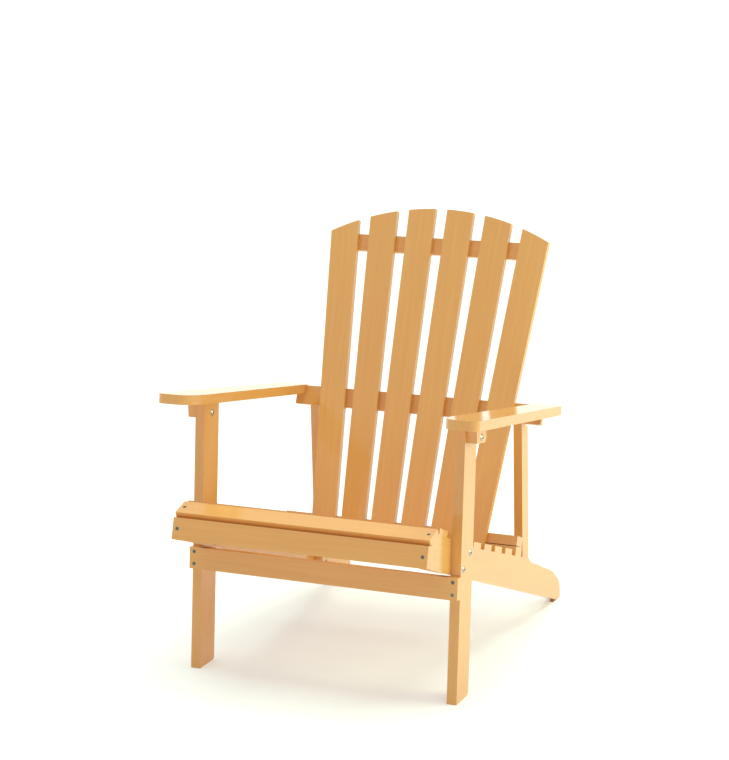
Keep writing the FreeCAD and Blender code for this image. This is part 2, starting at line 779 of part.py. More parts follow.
def build_rail():
    """Right side rail: straight bottom, faceted seat edge, ogee down to the heel."""
    thick_c = D["apron_thick"] * APRON_IN[0]
    thick_s = D["apron_thick"] * APRON_IN[1]
    low_k = (-thick_s - FALL * thick_c) / (APRON_UP[1] + FALL * APRON_UP[0])
    low = (D["apron_y"] + thick_c + APRON_UP[0] * low_k, D["apron_z"] + thick_s + APRON_UP[1] * low_k)
    rise = tangent(D["nose_rise"])
    facet_0 = NOSE_Z - rise * NOSE_Y
    high_k = (facet_0 + rise * (D["apron_y"] + thick_c) - D["apron_z"] - thick_s) / (
        APRON_UP[1] - rise * APRON_UP[0]
    )
    high = (D["apron_y"] + thick_c + APRON_UP[0] * high_k, D["apron_z"] + thick_s + APRON_UP[1] * high_k)
    shoulder = (D["shoulder_y"], seat_z(D["shoulder_y"]))
    step_a = (shoulder[0] + D["ogee_run_a"], shoulder[1] - D["ogee_drop_a"])
    step_b = (step_a[0] + D["ogee_run_b"], step_a[1] - D["ogee_drop_b"])
    step_c = (step_b[0] + D["ogee_run_c"], step_b[1] - D["ogee_drop_c"])
    heel_y = D["apron_y"] + D["apron_z"] / FALL
    corners = [
        low,
        (heel_y, as_size(0)),
        (D["rail_rear_y"], as_size(0)),
        (D["rail_rear_y"], D["rail_heel_rise"]),
        step_c,
        step_b,
        step_a,
        shoulder,
        (BREAK_Y, BREAK_Z),
        (CREST_Y, CREST_Z),
        high,
    ]
    arcs = {
        3: (D["ogee_radius_d"], True),
        4: (D["ogee_radius_c"], True),
        6: (D["ogee_radius_a"], False),
    }
    blank = outline_board("rail_blank", "YZ_Plane", corners, D["rail_thick"] + 40, arcs)
    place(blank, rail_out(as_size(727)) - D["rail_thick"] - 15, 0, 0)
    lead = 30
    strip = box(
        "rail_strip",
        D["rail_thick"],
        1000,
        600,
        D["rail_front_half"] + TOE * lead - D["rail_thick"] * cosine(D["rail_toe_in"]),
        D["apron_y"] - lead - D["rail_thick"] * sine(D["rail_toe_in"]),
        -20,
        f"rotationz({D['rail_toe_in'].text})",
    )
    shaped = DOC.addObject("Part::Common", "rail_shaped")
    shaped.Base = blank
    shaped.Tool = strip
    bores = [UPPER_BOLT[1], LOWER_BOLT[1], APRON_SCREW[1], LOWER_SCREW[1], POST_LOW[1], POST_HIGH[1]]
    bores += [board.bore for board in SEAT]
    return cut("side_rail", shaped, bores)


def build_leg():
    """Right front leg: leaning board, chamfered heel, top cut to the arm."""
    top = STOCK_TOP
    zero = as_size(0)
    corners = [
        (zero, zero),
        (D["leg_deep"] - D["leg_chamfer"], zero),
        (D["leg_deep"] + D["leg_chamfer"] * LEG_TAN, D["leg_chamfer"]),
        (D["leg_deep"] + top * LEG_TAN, top),
        (top * LEG_TAN, top),
    ]
    blank = outline_board("leg_blank", "YZ_Plane", corners, D["leg_thick"])
    place(blank, LEG_IN, 0, 0)
    tools = [UPPER_BOLT[1], LOWER_BOLT[1], CAP_BOLT[1], SLEEVE_BORE, LOW_SCREW[1], HIGH_SCREW[1], ARM_SPACE]
    return cut("front_leg", blank, tools)


def build_bracket():
    """Right arm bracket: a block outside the leg, rounded at its lower rear corner."""
    turn = D["bracket_round"]
    rear = BRACKET_Y + D["bracket_long"]
    top = STOCK_TOP
    corners = [
        (BRACKET_Y, arm_under(BRACKET_Y) - D["bracket_tall"]),
        (rear - turn, arm_under(rear - turn) - D["bracket_tall"]),
        (rear, arm_under(rear) - D["bracket_tall"] + turn),
        (rear, top),
        (BRACKET_Y, top),
    ]
    blank = outline_board("bracket_blank", "YZ_Plane", corners, D["bracket_thick"], {1: (turn * 1.15, True)})
    place(blank, LEG_OUT, 0, 0)
    return cut("arm_bracket", blank, [CAP_BOLT[1], BRACKET_SCREW[1], ARM_SPACE])


def build_arm():
    """Right arm: a tapering board, bowed in at its front inner edge, tilted down to the rear."""
    front = D["arm_front"]
    outer = D["arm_round_outer"]
    sweep = D["arm_cheek_y"] - D["arm_nose_y"]
    shift = D["arm_cheek_in"]
    cheek_radius = (sweep * sweep + shift * shift) / (2 * shift)
    turn_sine = sweep / cheek_radius
    turn_cosine = root(1 - turn_sine * turn_sine)
    nose_radius = (D["arm_nose_y"] - front) / (1 - turn_sine)
    nose_x = shift - D["arm_inner"]
    corners = [
        (nose_x + nose_radius * turn_cosine, front),
        (D["arm_outer_front"] - outer, front),
        (D["arm_outer_front"], front + outer),
        (D["arm_outer_rear"], D["arm_rear"]),
        (-D["arm_inner"], D["arm_rear"]),
        (-D["arm_inner"], D["arm_cheek_y"]),
        (nose_x, D["arm_nose_y"]),
    ]
    arcs = {1: (outer, True), 5: (cheek_radius, True), 6: (nose_radius, True)}
    blank = outline_board("arm_blank", "XY_Plane", corners, D["arm_thick"], arcs)
    place(blank, ARM_X, 0, D["arm_z"], ARM_TURN)
    return cut("arm", blank, [BRACKET_SCREW[1], LEDGE_SCREW[1]])


def build_post():
    """Right rear post: from inside the side rail up to the mid back rail."""
    rear = POST_Y + D["post_deep"]
    touch_y, touch_z = back_point(D["slat_thick"], MID_RISE)
    corners = [
        (POST_Y, bottom_z(POST_Y) + D["post_foot_gap"]),
        (rear, bottom_z(rear) + D["post_foot_gap"]),
        (rear, touch_z - (rear - touch_y) * BACK_TAN),
        (POST_Y, touch_z - (POST_Y - touch_y) * BACK_TAN),
    ]
    blank = outline_board("post_blank", "YZ_Plane", corners, D["post_thick"])
    place(blank, POST_OUT - D["post_thick"], 0, 0)
    return cut("rear_post", blank, [POST_LOW[1], POST_HIGH[1], POST_TOP_SCREW[1]])


def build_pad():
    """Right foot pad: a wedge between the rail's bottom edge and the ground."""
    front = D["pad_front_y"]
    rear = D["pad_rear_y"]
    zero = as_size(0)
    corners = [(front, zero), (rear, zero), (rear, bottom_z(rear)), (front, bottom_z(front))]
    pad = outline_board("foot_pad", "YZ_Plane", corners, D["pad_wide"])
    place(pad, rail_out(rear) - 2 - D["pad_wide"], 0, 0)
    return pad


def build_back_slat(index):
    """A right-hand back slat, cut to the common arc at its top."""
    low = bottom_edge(index)
    high = top_edge(index)
    corners = [
        (low[0], as_size(0)),
        (low[1], as_size(0)),
        (high[1], crown(high[1])),
        (high[0], crown(high[0])),
    ]
    arcs = {2: (D["crown_radius"], True)}
    blank = outline_board(f"back_blank_{index}", "XZ_Plane", corners, D["slat_thick"], arcs, flipped=True)
    place(blank, 0, D["back_y"], D["back_z"], BACK_TURN)
    bores = [rows[index][1] for rows in (UPPER_SCREWS, MID_SCREWS, LOWER_SCREWS)]
    return cut(f"back_slat_{index + 4}", blank, bores)


def cross_rail(label, half, deep, tall, up, bores, extra=None):
    """A rail across the back, flat against the rear faces of the slats."""
    y, z = back_point(D["slat_thick"], up)
    blank = box(f"{label}_blank", half * 2, deep, tall, -half, y, z, BACK_TURN)
    tools = [both_sides(f"{label}_bores", bores)]
    tools += extra or []
    keep(label, cut(label, blank, tools))


def build_pair(label, right):
    """Keep a right-hand piece and its mirror image."""
    keep(f"{label}_right", right)
    keep(f"{label}_left", mirrored(f"{label}_left", right))


build_pair("side_rail", build_rail())
build_pair("front_leg", build_leg())
build_pair("arm_bracket", build_bracket())
build_pair("arm", build_arm())
build_pair("rear_post", build_post())
build_pair("rear_foot_pad", build_pad())

for slat_index in range(3):
    right_slat = build_back_slat(slat_index)
    keep(f"back_slat_{slat_index + 4}", right_slat)
    left_number = 3 - slat_index
    keep(f"back_slat_{left_number}", mirrored(f"back_slat_{left_number}", right_slat))

for board in SEAT:
    board.build()

BOARD_HALF = rail_out(BOARD_Y + D["rear_board_wide"] / 2)
BOARD_BLANK = box(
    "rear_board_blank",
    BOARD_HALF * 2,
    D["rear_board_wide"],
    D["rear_board_thick"],
    -BOARD_HALF,
    BOARD_Y - D["rear_board_thick"] * REAR_SIN,
    BOARD_TOP - D["rear_board_thick"] * REAR_COS,
    f"rotationx(0 - {D['seat_fall_rear'].text})",
)
keep("rear_seat_board", cut("rear_seat_board", BOARD_BLANK, [both_sides("rear_board_bores", [LOWER_SCREW[1]])]))

cross_rail(
    "lower_back_rail",
    LOWER_HALF,
    D["lower_rail_deep"],
    D["lower_rail_tall"],
    LOWER_RISE,
    [LOWER_SCREW[1]] + [item[1] for item in LOWER_SCREWS],
)
cross_rail(
    "mid_back_rail",
    MID_HALF,
    D["cross_thick"],
    D["mid_rail_tall"],
    MID_RISE,
    [POST_TOP_SCREW[1], LEDGE_SCREW[1], ARM_SPACE] + [item[1] for item in MID_SCREWS],
)
cross_rail(
    "upper_back_rail",
    UPPER_HALF,
    D["cross_thick"],
    D["upper_rail_tall"],
    UPPER_RISE,
    [item[1] for item in UPPER_SCREWS],
)

APRON_BLANK = box(
    "apron_blank",
    D["rail_front_half"] * 2,
    D["apron_thick"],
    D["apron_tall"],
    -D["rail_front_half"],
    D["apron_y"],
    D["apron_z"],
    f"rotationx(0 - {D['apron_lean'].text})",
)
keep("apron", cut("apron", APRON_BLANK, [both_sides("apron_bores", [APRON_SCREW[1]])]))

STRETCHER_BLANK = box(
    "stretcher_blank",
    LEG_OUT * 2,
    D["stretcher_thick"],
    D["stretcher_tall"],
    -LEG_OUT,
    D["stretcher_z"] * LEG_TAN - D["stretcher_thick"] * cosine(D["leg_lean"]),
    D["stretcher_z"] + D["stretcher_thick"] * sine(D["leg_lean"]),
    f"rotationx(0 - {D['leg_lean'].text})",
)
STRETCHER_BORES = both_sides("stretcher_bores", [LOW_SCREW[1], HIGH_SCREW[1]])
keep("front_stretcher", cut("front_stretcher", STRETCHER_BLANK, [STRETCHER_BORES]))

# ---------------------------------------------------------------- fastener groups
keep("leg_bolts", both_sides("leg_bolts", [UPPER_BOLT[0], LOWER_BOLT[0]]))
keep("leg_nuts", both_sides("leg_nuts", [UPPER_BOLT[2], LOWER_BOLT[2]]))
keep("bracket_bolts", both_sides("bracket_bolts", [CAP_BOLT[0]]))
keep("bracket_sleeve_nuts", both_sides("bracket_sleeve_nuts", [CAP_NUT]))
keep("stretcher_screws", both_sides("stretcher_screws", [LOW_SCREW[0], HIGH_SCREW[0]]))
keep("apron_screws", both_sides("apron_screws", [APRON_SCREW[0]]))
keep("seat_screws", both_sides("seat_screws", [item.screw for item in SEAT]))
keep("back_screws", both_sides("back_screws", [item[0] for item in UPPER_SCREWS + MID_SCREWS]))
keep("lower_back_screws", both_sides("lower_back_screws", [item[0] for item in LOWER_SCREWS]))
keep("lower_rail_screws", both_sides("lower_rail_screws", [LOWER_SCREW[0]]))
keep("post_screws", both_sides("post_screws", [POST_LOW[0], POST_HIGH[0]]))
keep("post_top_screws", both_sides("post_top_screws", [POST_TOP_SCREW[0]]))
keep("arm_bracket_screws", both_sides("arm_bracket_screws", [BRACKET_SCREW[0]]))
keep("arm_rear_screws", both_sides("arm_rear_screws", [LEDGE_SCREW[0]]))


def check_and_write():
    """Recompute, refuse any failed object, then write one file per sub-part."""
    DOC.recompute()
    failed = [
        f"{item.Name}: {item.State}"
        for item in DOC.Objects
        if "Invalid" in item.State or "Error" in item.State
    ]
    if failed:
        raise RuntimeError("failed objects: " + "; ".join(failed[:12]))
    for label, item in PIECES.items():
        shape = item.Shape
        if shape.isNull() or not shape.isValid() or not shape.Solids:
            raise RuntimeError(f"bad shape in {label}")
    os.makedirs("parts", exist_ok=True)
    for label, item in PIECES.items():
        item.Shape.exportStep(f"parts/{label}.step")
        box_ = item.Shape.BoundBox
        print(f"{label}: {len(item.Shape.Solids)} solid(s), z {box_.ZMin:.1f} to {box_.ZMax:.1f}")


check_and_write()
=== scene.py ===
"""Looks for a slatted garden armchair: stained softwood boards, bright bolts, dark screws.

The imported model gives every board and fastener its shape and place. This file rounds
the boards' edges, gives each board its own run of grain and its own stain, finishes the
metal and sets a pale floor with soft light.
"""

import json
import logging
import math
from dataclasses import dataclass, field
from enum import Enum
from typing import Iterable, Sequence, Union

import bpy
from mathutils import Euler, Matrix, Vector

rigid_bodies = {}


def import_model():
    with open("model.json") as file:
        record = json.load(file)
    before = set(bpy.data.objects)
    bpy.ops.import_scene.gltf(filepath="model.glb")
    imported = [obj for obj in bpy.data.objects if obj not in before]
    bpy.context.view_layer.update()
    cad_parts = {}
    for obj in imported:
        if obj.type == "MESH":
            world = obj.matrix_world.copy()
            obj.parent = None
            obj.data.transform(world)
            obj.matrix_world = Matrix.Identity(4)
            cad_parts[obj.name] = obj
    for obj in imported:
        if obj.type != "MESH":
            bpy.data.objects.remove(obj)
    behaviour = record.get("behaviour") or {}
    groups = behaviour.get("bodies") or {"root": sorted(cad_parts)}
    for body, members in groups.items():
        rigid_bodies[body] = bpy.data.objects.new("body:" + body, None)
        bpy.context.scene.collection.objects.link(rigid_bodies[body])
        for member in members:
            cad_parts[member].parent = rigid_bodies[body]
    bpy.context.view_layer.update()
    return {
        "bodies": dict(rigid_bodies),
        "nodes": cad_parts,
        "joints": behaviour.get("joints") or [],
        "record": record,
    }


LOG = logging.getLogger("garden_chair")

FLOOR_REACH = 60.0
SENSOR_WIDTH = 36.0
CLIP_END = 60.0
LAMP_AIM = (0.15, 0.0, 0.40)
KEY_TINT = (0.78, 1.0, 0.50)
TOP_TINT = (0.84, 1.0, 0.84)

Colour = tuple[float, float, float]
Value = Union[bpy.types.NodeSocket, float]
Paint = Union[bpy.types.NodeSocket, Colour]


class Grain(Enum):
    """Which way the fibres of a board run."""

    ACROSS = "across the chair"
    ALONG = "front to rear"
    UPRIGHT = "up the chair"


def rgba(colour: Colour) -> tuple[float, float, float, float]:
    """Return a colour with full opacity."""
    return (colour[0], colour[1], colour[2], 1.0)


class Nodes:
    """A short way to add shader nodes to one material and join them."""

    def __init__(self, name: str) -> None:
        """Start an empty node material.

        Args:
            name: The material's name.
        """
        self.material = bpy.data.materials.new(name)
        self.material.use_nodes = True
        self.tree = self.material.node_tree
        self.tree.nodes.clear()
        self.shader = self.add("ShaderNodeBsdfPrincipled")
        output = self.add("ShaderNodeOutputMaterial")
        self.join(self.shader.outputs["BSDF"], output.inputs["Surface"])

    def add(self, kind: str, **settings: object) -> bpy.types.ShaderNode:
        """Add a node and set its plain properties.

        Args:
            kind: The node's type name.
            **settings: Properties of the node, by name.

        Returns:
            The new node.
        """
        node = self.tree.nodes.new(kind)
        for key, value in settings.items():
            setattr(node, key, value)
        return node

    def join(self, start: bpy.types.NodeSocket, end: bpy.types.NodeSocket) -> None:
        """Link an output to an input."""
        self.tree.links.new(start, end)

    def math(self, operation: str, first: Value, second: Value = 0.0) -> bpy.types.NodeSocket:
        """Combine two values, each a socket or a number.

        Args:
            operation: The math node's operation.
            first: The first value.
            second: The second value.

        Returns:
            The result's socket.
        """
        node = self.add("ShaderNodeMath", operation=operation)
        for socket, value in zip(node.inputs, (first, second)):
            if isinstance(value, (int, float)):
                socket.default_value = float(value)
            else:
                self.join(value, socket)
        return node.outputs[0]

    def blend(self, amount: Value, first: Paint, second: Paint) -> bpy.types.NodeSocket:
        """Blend two colours.

        Args:
            amount: How much of the second shows, a socket or a number.
            first: A colour or a colour socket.
            second: A colour or a colour socket.

        Returns:
            The blended colour's socket.
        """
        node = self.add("ShaderNodeMix", data_type="RGBA", blend_type="MIX", clamp_result=True)
        if isinstance(amount, (int, float)):
            node.inputs[0].default_value = float(amount)
        else:
            self.join(amount, node.inputs[0])
        for index, value in ((6, first), (7, second)):
            if isinstance(value, tuple):
                node.inputs[index].default_value = rgba(value)
            else:
                self.join(value, node.inputs[index])
        return node.outputs[2]

    def ramp(self, value: bpy.types.NodeSocket, low: float, high: float) -> bpy.types.NodeSocket:
        """Stretch a value between two limits to 0 and 1, with soft ends.

        Args:
            value: The value's socket.
            low: What becomes 0.
            high: What becomes 1.

        Returns:
            The stretched value's socket.
        """
        node = self.add("ShaderNodeMapRange", interpolation_type="SMOOTHSTEP")
        self.join(value, node.inputs["Value"])
        node.inputs["From Min"].default_value = low
        node.inputs["From Max"].default_value = high
        return node.outputs["Result"]

    def noise(
        self, vector: bpy.types.NodeSocket, scale: float, detail: float, rough: float = 0.55
    ) -> bpy.types.NodeSocket:
        """Lay fractal noise over a vector.

        Args:
            vector: Where the noise is read.
            scale: How fine it is.
            detail: How many finer layers it has.
            rough: How strong the finer layers are.

        Returns:
            The noise's socket.
        """
        node = self.add("ShaderNodeTexNoise")
        self.join(vector, node.inputs["Vector"])
        node.inputs["Scale"].default_value = scale
        node.inputs["Detail"].default_value = detail
        node.inputs["Roughness"].default_value = rough
        return node.outputs["Fac"]


def stretched(
    n: Nodes, vector: bpy.types.NodeSocket, scale: Sequence[float]
) -> bpy.types.NodeSocket:
    """Scale a vector unevenly, so that a pattern runs with the fibres.

    Args:
        n: The material's nodes.
        vector: The vector's socket.
        scale: The factor along each axis.

    Returns:
        The scaled vector's socket.
    """
    node = n.add("ShaderNodeVectorMath", operation="MULTIPLY")
    n.join(vector, node.inputs[0])
    node.inputs[1].default_value = tuple(scale)
    return node.outputs["Vector"]


def roughen(n: Nodes, height: bpy.types.NodeSocket, strength: float, depth: float) -> None:
    """Give a material a fine relief.

    Args:
        n: The material's nodes.
        height: The relief's socket.
        strength: How much it shows.
        depth: Its depth, in metres.
    """
    bump = n.add("ShaderNodeBump")
    bump.inputs["Strength"].default_value = strength
    bump.inputs["Distance"].default_value = depth
    n.join(height, bump.inputs["Height"])
    n.join(bump.outputs["Normal"], n.shader.inputs["Normal"])


@dataclass(frozen=True)
class Fibre:
    """A noise stretched along a board's fibres."""

    stretch: Sequence[float]
    scale: float
    detail: float
    rough: float = 0.55

    def over(self, n: Nodes, vector: bpy.types.NodeSocket) -> bpy.types.NodeSocket:
        """Return the noise's socket, read over a vector."""
        return n.noise(stretched(n, vector, self.stretch), self.scale, self.detail, self.rough)


@dataclass(frozen=True)
class StainedWood:
    """A fine straight-grained softwood under a satin golden stain."""

    base: Colour = (0.745, 0.352, 0.097)
    pale: Colour = (0.780, 0.392, 0.113)
    dark: Colour = (0.690, 0.300, 0.074)
    pore: Colour = (0.580, 0.235, 0.050)
    worn: Colour = (0.815, 0.455, 0.145)
    roughness: float = 0.42
    coat: float = 1.0
    coat_roughness: float = 0.13
    coat_index: float = 1.48
    specular: float = 0.2
    bend: Sequence[float] = (0.0, 0.035, 0.035)
    ring_scale: float = 22.0
    drift: Fibre = Fibre((0.9, 2.0, 2.0), 1.6, 1.0)
    streak: Fibre = Fibre((1.2, 42.0, 42.0), 4.0, 5.0, 0.62)
    fibre: Fibre = Fibre((7.0, 260.0, 260.0), 3.0, 3.0, 0.6)
    pit: Fibre = Fibre((14.0, 330.0, 330.0), 3.0, 2.0)
    cloud: Fibre = Fibre((0.35, 3.0, 3.0), 3.1, 0.0)
    rub: Fibre = Fibre((8.0, 46.0, 46.0), 1.0, 3.0)

    def material(self, name: str, turn: Euler, shift: Vector, tone: float) -> bpy.types.Material:
        """Make the finish of one board.

        Args:
            name: The material's name.
            turn: Turns the board's own length to the grain's x axis.
            shift: Where in the timber this board was cut from.
            tone: How dark this board took the stain, from -1 to 1.

        Returns:
            The finished material.
        """
        n = Nodes(name)
        place = n.add("ShaderNodeTexCoord").outputs["Object"]
        frame = n.add("ShaderNodeMapping", vector_type="POINT")
        n.join(place, frame.inputs["Vector"])
        frame.inputs["Rotation"].default_value = turn
        frame.inputs["Location"].default_value = shift
        board = frame.outputs["Vector"]

        wander = n.add("ShaderNodeVectorMath", operation="MULTIPLY_ADD")
        n.join(self.drift.over(n, board), wander.inputs[0])
        wander.inputs[1].default_value = tuple(self.bend)
        n.join(board, wander.inputs[2])
        bent = wander.outputs["Vector"]
        streaks = self.streak.over(n, bent)
        pores = n.ramp(self.pit.over(n, bent), 0.66, 0.80)

        base, pale, dark, pore, worn = (
            self._toned(colour, tone)
            for colour in (self.base, self.pale, self.dark, self.pore, self.worn)
        )
        cloudy = n.math("MULTIPLY", n.ramp(self.cloud.over(n, board), 0.30, 0.74), 0.30)
        colour = n.blend(cloudy, base, dark)
        colour = n.blend(n.math("MULTIPLY", n.ramp(streaks, 0.40, 0.68), 0.55), colour, pale)
        colour = n.blend(n.math("MULTIPLY", self._late_wood(n, bent), 0.16), colour, dark)
        colour = n.blend(n.math("MULTIPLY", pores, 0.14), colour, pore)
        rim = n.ramp(n.add("ShaderNodeNewGeometry").outputs["Pointiness"], 0.60, 0.72)
        wear = n.math("MULTIPLY", rim, n.ramp(self.rub.over(n, board), 0.30, 0.62))
        colour = n.blend(n.math("MULTIPLY", wear, 0.60), colour, worn)
        n.join(colour, n.shader.inputs["Base Color"])

        sheen = n.math("MULTIPLY_ADD", streaks, 0.14)
        sheen.node.inputs[2].default_value = self.roughness - 0.07
        dulled = n.math("ADD", sheen, n.math("MULTIPLY", pores, 0.12))
        n.join(dulled, n.shader.inputs["Roughness"])
        n.shader.inputs["Specular IOR Level"].default_value = self.specular
        n.shader.inputs["Coat Weight"].default_value = self.coat
        n.shader.inputs["Coat Roughness"].default_value = self.coat_roughness
        n.shader.inputs["Coat IOR"].default_value = self.coat_index

        fibres = n.math("MULTIPLY", self.fibre.over(n, bent), 0.55)
        relief = n.math("ADD", fibres, n.math("MULTIPLY", streaks, 0.55))
        relief = n.math("SUBTRACT", relief, n.math("MULTIPLY", pores, 0.45))
        roughen(n, relief, 0.16, 0.0006)
        return n.material

    def _late_wood(self, n: Nodes, bent: bpy.types.NodeSocket) -> bpy.types.NodeSocket:
        """Draw the darker rings of late wood.

        Args:
            n: The material's nodes.
            bent: Where in the timber the rings are read.

        Returns:
            The rings' socket.
        """
        rings = n.add(
            "ShaderNodeTexWave", wave_type="RINGS", rings_direction="X", wave_profile="SAW"
        )
        n.join(stretched(n, bent, (0.03, 1.0, 1.0)), rings.inputs["Vector"])
        rings.inputs["Scale"].default_value = self.ring_scale
        rings.inputs["Distortion"].default_value = 0.9
        rings.inputs["Detail"].default_value = 2.0
        rings.inputs["Detail Scale"].default_value = 1.4
        return n.ramp(rings.outputs["Fac"], 0.35, 1.0)

    @staticmethod
    def _toned(colour: Colour, tone: float) -> Colour:
        """Shift a stain a little darker and redder, or paler and yellower."""
        red, green, blue = colour
        return (red * (1 - 0.030 * tone), green * (1 - 0.055 * tone), blue * (1 - 0.085 * tone))


@dataclass(frozen=True)
class PlatedSteel:
    """Turned and plated steel with a faint bloom and fine scratches."""

    bright: Colour
    dull: Colour
    roughness: float
    metallic: float = 1.0

    def material(self, name: str) -> bpy.types.Material:
        """Make the finish.

        Args:
            name: The material's name.

        Returns:
            The finished material.
        """
        n = Nodes(name)
        place = n.add("ShaderNodeTexCoord").outputs["Object"]
        bloom = n.noise(place, 190.0, 4.0)
        scratch = n.noise(place, 1500.0, 2.0)
        rim = n.ramp(n.add("ShaderNodeNewGeometry").outputs["Pointiness"], 0.50, 0.56)
        colour = n.blend(n.ramp(bloom, 0.35, 0.70), self.dull, self.bright)
        colour = n.blend(n.math("MULTIPLY", rim, 0.35), colour, self.bright)
        n.join(colour, n.shader.inputs["Base Color"])
        n.shader.inputs["Metallic"].default_value = self.metallic
        rough = n.math("MULTIPLY_ADD", bloom, 0.16)
        rough.node.inputs[2].default_value = self.roughness
        n.join(rough, n.shader.inputs["Roughness"])
        roughen(n, scratch, 0.12, 0.0002)
        return n.material


@dataclass(frozen=True)
class FootShadowPad:
    """Dark brown pads under the rear feet, whose colour is a painted contact shadow."""

    # Painted shadow: the dark brown of the contact shadow under the rear foot, and its lighter
    # brown fringe.
    colour: Colour = (0.330, 0.150, 0.055)
    shadow_fringe: Colour = (0.480, 0.250, 0.110)

    def material(self, name: str) -> bpy.types.Material:
        """Make the finish.

        Args:
            name: The material's name.

        Returns:
            The finished material.
        """
        n = Nodes(name)
        place = n.add("ShaderNodeTexCoord").outputs["Object"]
        speck = n.noise(place, 420.0, 3.0)
        # Painted shadow: noise mottles the dark shadow brown with the lighter fringe brown.
        shadow_mottle = n.ramp(n.noise(place, 70.0, 4.0), 0.42, 0.70)
        colour = n.blend(n.math("MULTIPLY", shadow_mottle, 0.6), self.colour, self.shadow_fringe)
        n.join(colour, n.shader.inputs["Base Color"])
        n.shader.inputs["Roughness"].default_value = 0.78
        roughen(n, speck, 0.3, 0.0004)
        return n.material


def ease_edges(
    piece: bpy.types.Object, width: float, segments: int = 3, limit: float = 32.0
) -> None:
    """Round a piece's crisp edges and shade its flats flat.

    Args:
        piece: The object.
        width: The rounding's width, in metres.
        segments: How many steps the rounding has.
        limit: The smallest fold, in degrees, that is rounded.
    """
    bevel = piece.modifiers.new("eased_edges", "BEVEL")
    bevel.width = width
    bevel.segments = segments
    bevel.limit_method = "ANGLE"
    bevel.angle_limit = math.radians(limit)
    bevel.harden_normals = True
    bevel.use_clamp_overlap = True
    bevel.miter_outer = "MITER_ARC"
    smooth = piece.modifiers.new("smooth_rounds", "WEIGHTED_NORMAL")
    smooth.keep_sharp = True


def clear_slots(piece: bpy.types.Object, finish: bpy.types.Material) -> None:
    """Give a piece one finish all over.

    Args:
        piece: The object.
        finish: Its material.
    """
    for slot in piece.material_slots:
        slot.link = "OBJECT"
        slot.material = finish
    if not piece.material_slots:
        piece.data.materials.append(finish)


@dataclass
class Board:
    """One board of the chair."""

    node: str
    grain: Grain
    tilt: float = 0.0
    fan: float = 0.0
    tone: float = 0.0
    edge: float = 0.0016

    def turn(self) -> Euler:
        """Work out the turn from the board's length to the grain's x axis.

        Returns:
            The turn.
        """
        if self.grain is Grain.ACROSS:
            return Euler((math.radians(self.tilt), 0.0, 0.0))
        if self.grain is Grain.ALONG:
            lay = Matrix.Rotation(math.radians(-90.0), 3, "Z")
            return (lay @ Matrix.Rotation(math.radians(self.tilt), 3, "X")).to_euler()
        stand = (
            Matrix.Rotation(math.radians(90.0), 3, "Y")
            @ Matrix.Rotation(math.radians(-self.fan), 3, "Y")
            @ Matrix.Rotation(math.radians(self.tilt), 3, "X")
        )
        return stand.to_euler()


@dataclass
class Timbers:
    """A set of boards that belong together and share a finish."""

    name: str
    boards: list[Board]
    finish: StainedWood = field(default_factory=StainedWood)

    def dress(self, nodes: dict[str, bpy.types.Object], start: int) -> int:
        """Round, stain and grain every board.

        Args:
            nodes: The frame's nodes by name.
            start: A number that sets where in the timber the first board was cut.

        Returns:
            The number for the next set.
        """
        for step, board in enumerate(self.boards):
            index = start + step
            shift = Vector((0.37 * index, 0.211 * (index % 7) + 0.05, 0.173 * (index % 5) + 0.09))
            tone = board.tone + 0.55 * math.sin(index * 2.4)
            piece = nodes[board.node]
            finish = self.finish.material(f"stain_{board.node}", board.turn(), shift, tone)
            clear_slots(piece, finish)
            ease_edges(piece, board.edge)
            LOG.info("%s: %s finished", self.name, board.node)
        return start + len(self.boards)


@dataclass
class Fixings:
    """Bolts, nuts and screws that share a finish."""

    name: str
    pieces: list[str]
    finish: PlatedSteel
    edge: float = 0.0003

    def dress(self, nodes: dict[str, bpy.types.Object]) -> None:
        """Finish every group of fixings.

        Args:
            nodes: The frame's nodes by name.
        """
        finish = self.finish.material(self.name)
        for piece in self.pieces:
            clear_slots(nodes[piece], finish)
            ease_edges(nodes[piece], self.edge, 2, 40.0)
            LOG.info("%s: %s finished", self.name, piece)


